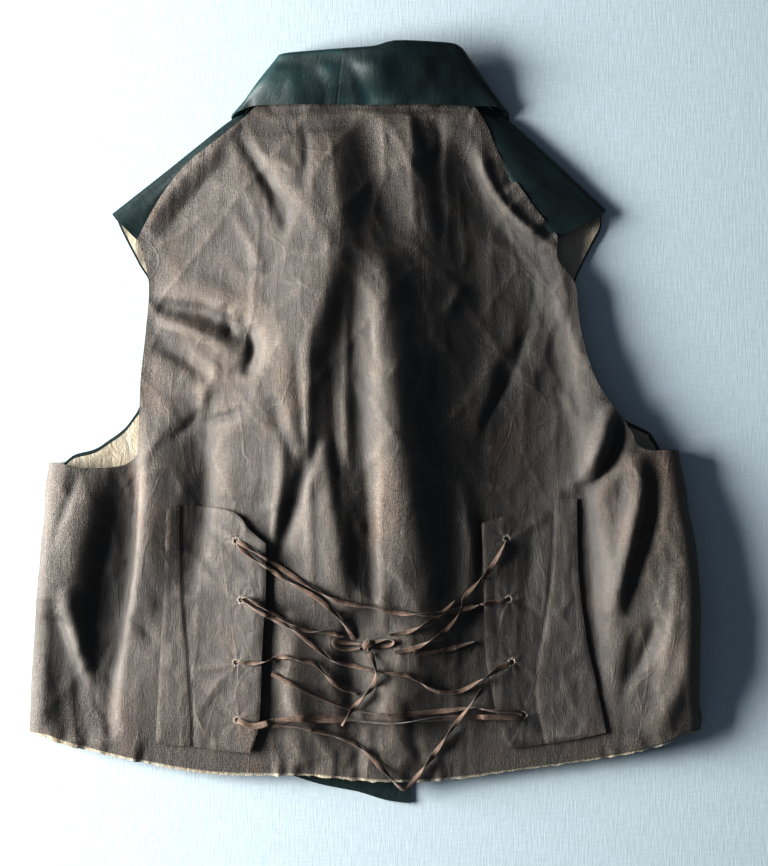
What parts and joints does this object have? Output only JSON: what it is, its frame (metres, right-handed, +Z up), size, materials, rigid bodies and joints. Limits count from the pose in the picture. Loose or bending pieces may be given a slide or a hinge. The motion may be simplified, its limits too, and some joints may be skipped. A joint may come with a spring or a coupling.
{
  "type": "waistcoat",
  "caption": "Man's waistcoat laid face down: brown cotton back with two laced tabs, dark green satin fronts and turn-down collar.",
  "frame": {"origin": "on the table under the middle of the garment, where its box's base is centred", "axes": "+Y towards the collar, +X towards the wearer's right side as the garment lies face down, +Z up off the table"},
  "size_m": [0.5081, 0.5754, 0.036],
  "materials": {
    "back_cotton": "glazed cotton, worn to a soft sheen",
    "green_satin": "silk satin",
    "lining_cotton": "plain cream cotton",
    "lace_tape": "twisted cotton tape",
    "horn": "dark horn, dull polish"
  },
  "bodies": {
    "root": {"back": "back_cotton", "hem_lining": "lining_cotton", "front_left": "green_satin", "front_right": "green_satin", "front_lining_left": "lining_cotton", "front_lining_right": "lining_cotton", "front_facing": "green_satin", "collar_left": "green_satin", "collar_right": "green_satin", "tab_left": "back_cotton", "tab_right": "back_cotton", "lace_top_across": "lace_tape", "lace_top_to_knot": "lace_tape", "lace_second_across": "lace_tape", "lace_second_to_knot": "lace_tape", "lace_third_to_tail": "lace_tape", "lace_under_tab": "lace_tape", "lace_bottom_across": "lace_tape", "lace_slack_loop": "lace_tape", "lace_right_to_knot": "lace_tape", "lace_right_short": "lace_tape", "lace_right_stray": "lace_tape", "lace_tail": "lace_tape", "bow_left": "lace_tape", "bow_right": "lace_tape", "lace_knot": "lace_tape", "button_1": "horn", "button_2": "horn", "button_3": "horn", "button_4": "horn", "button_5": "horn", "button_6": "horn"}
  },
  "joints": []
}
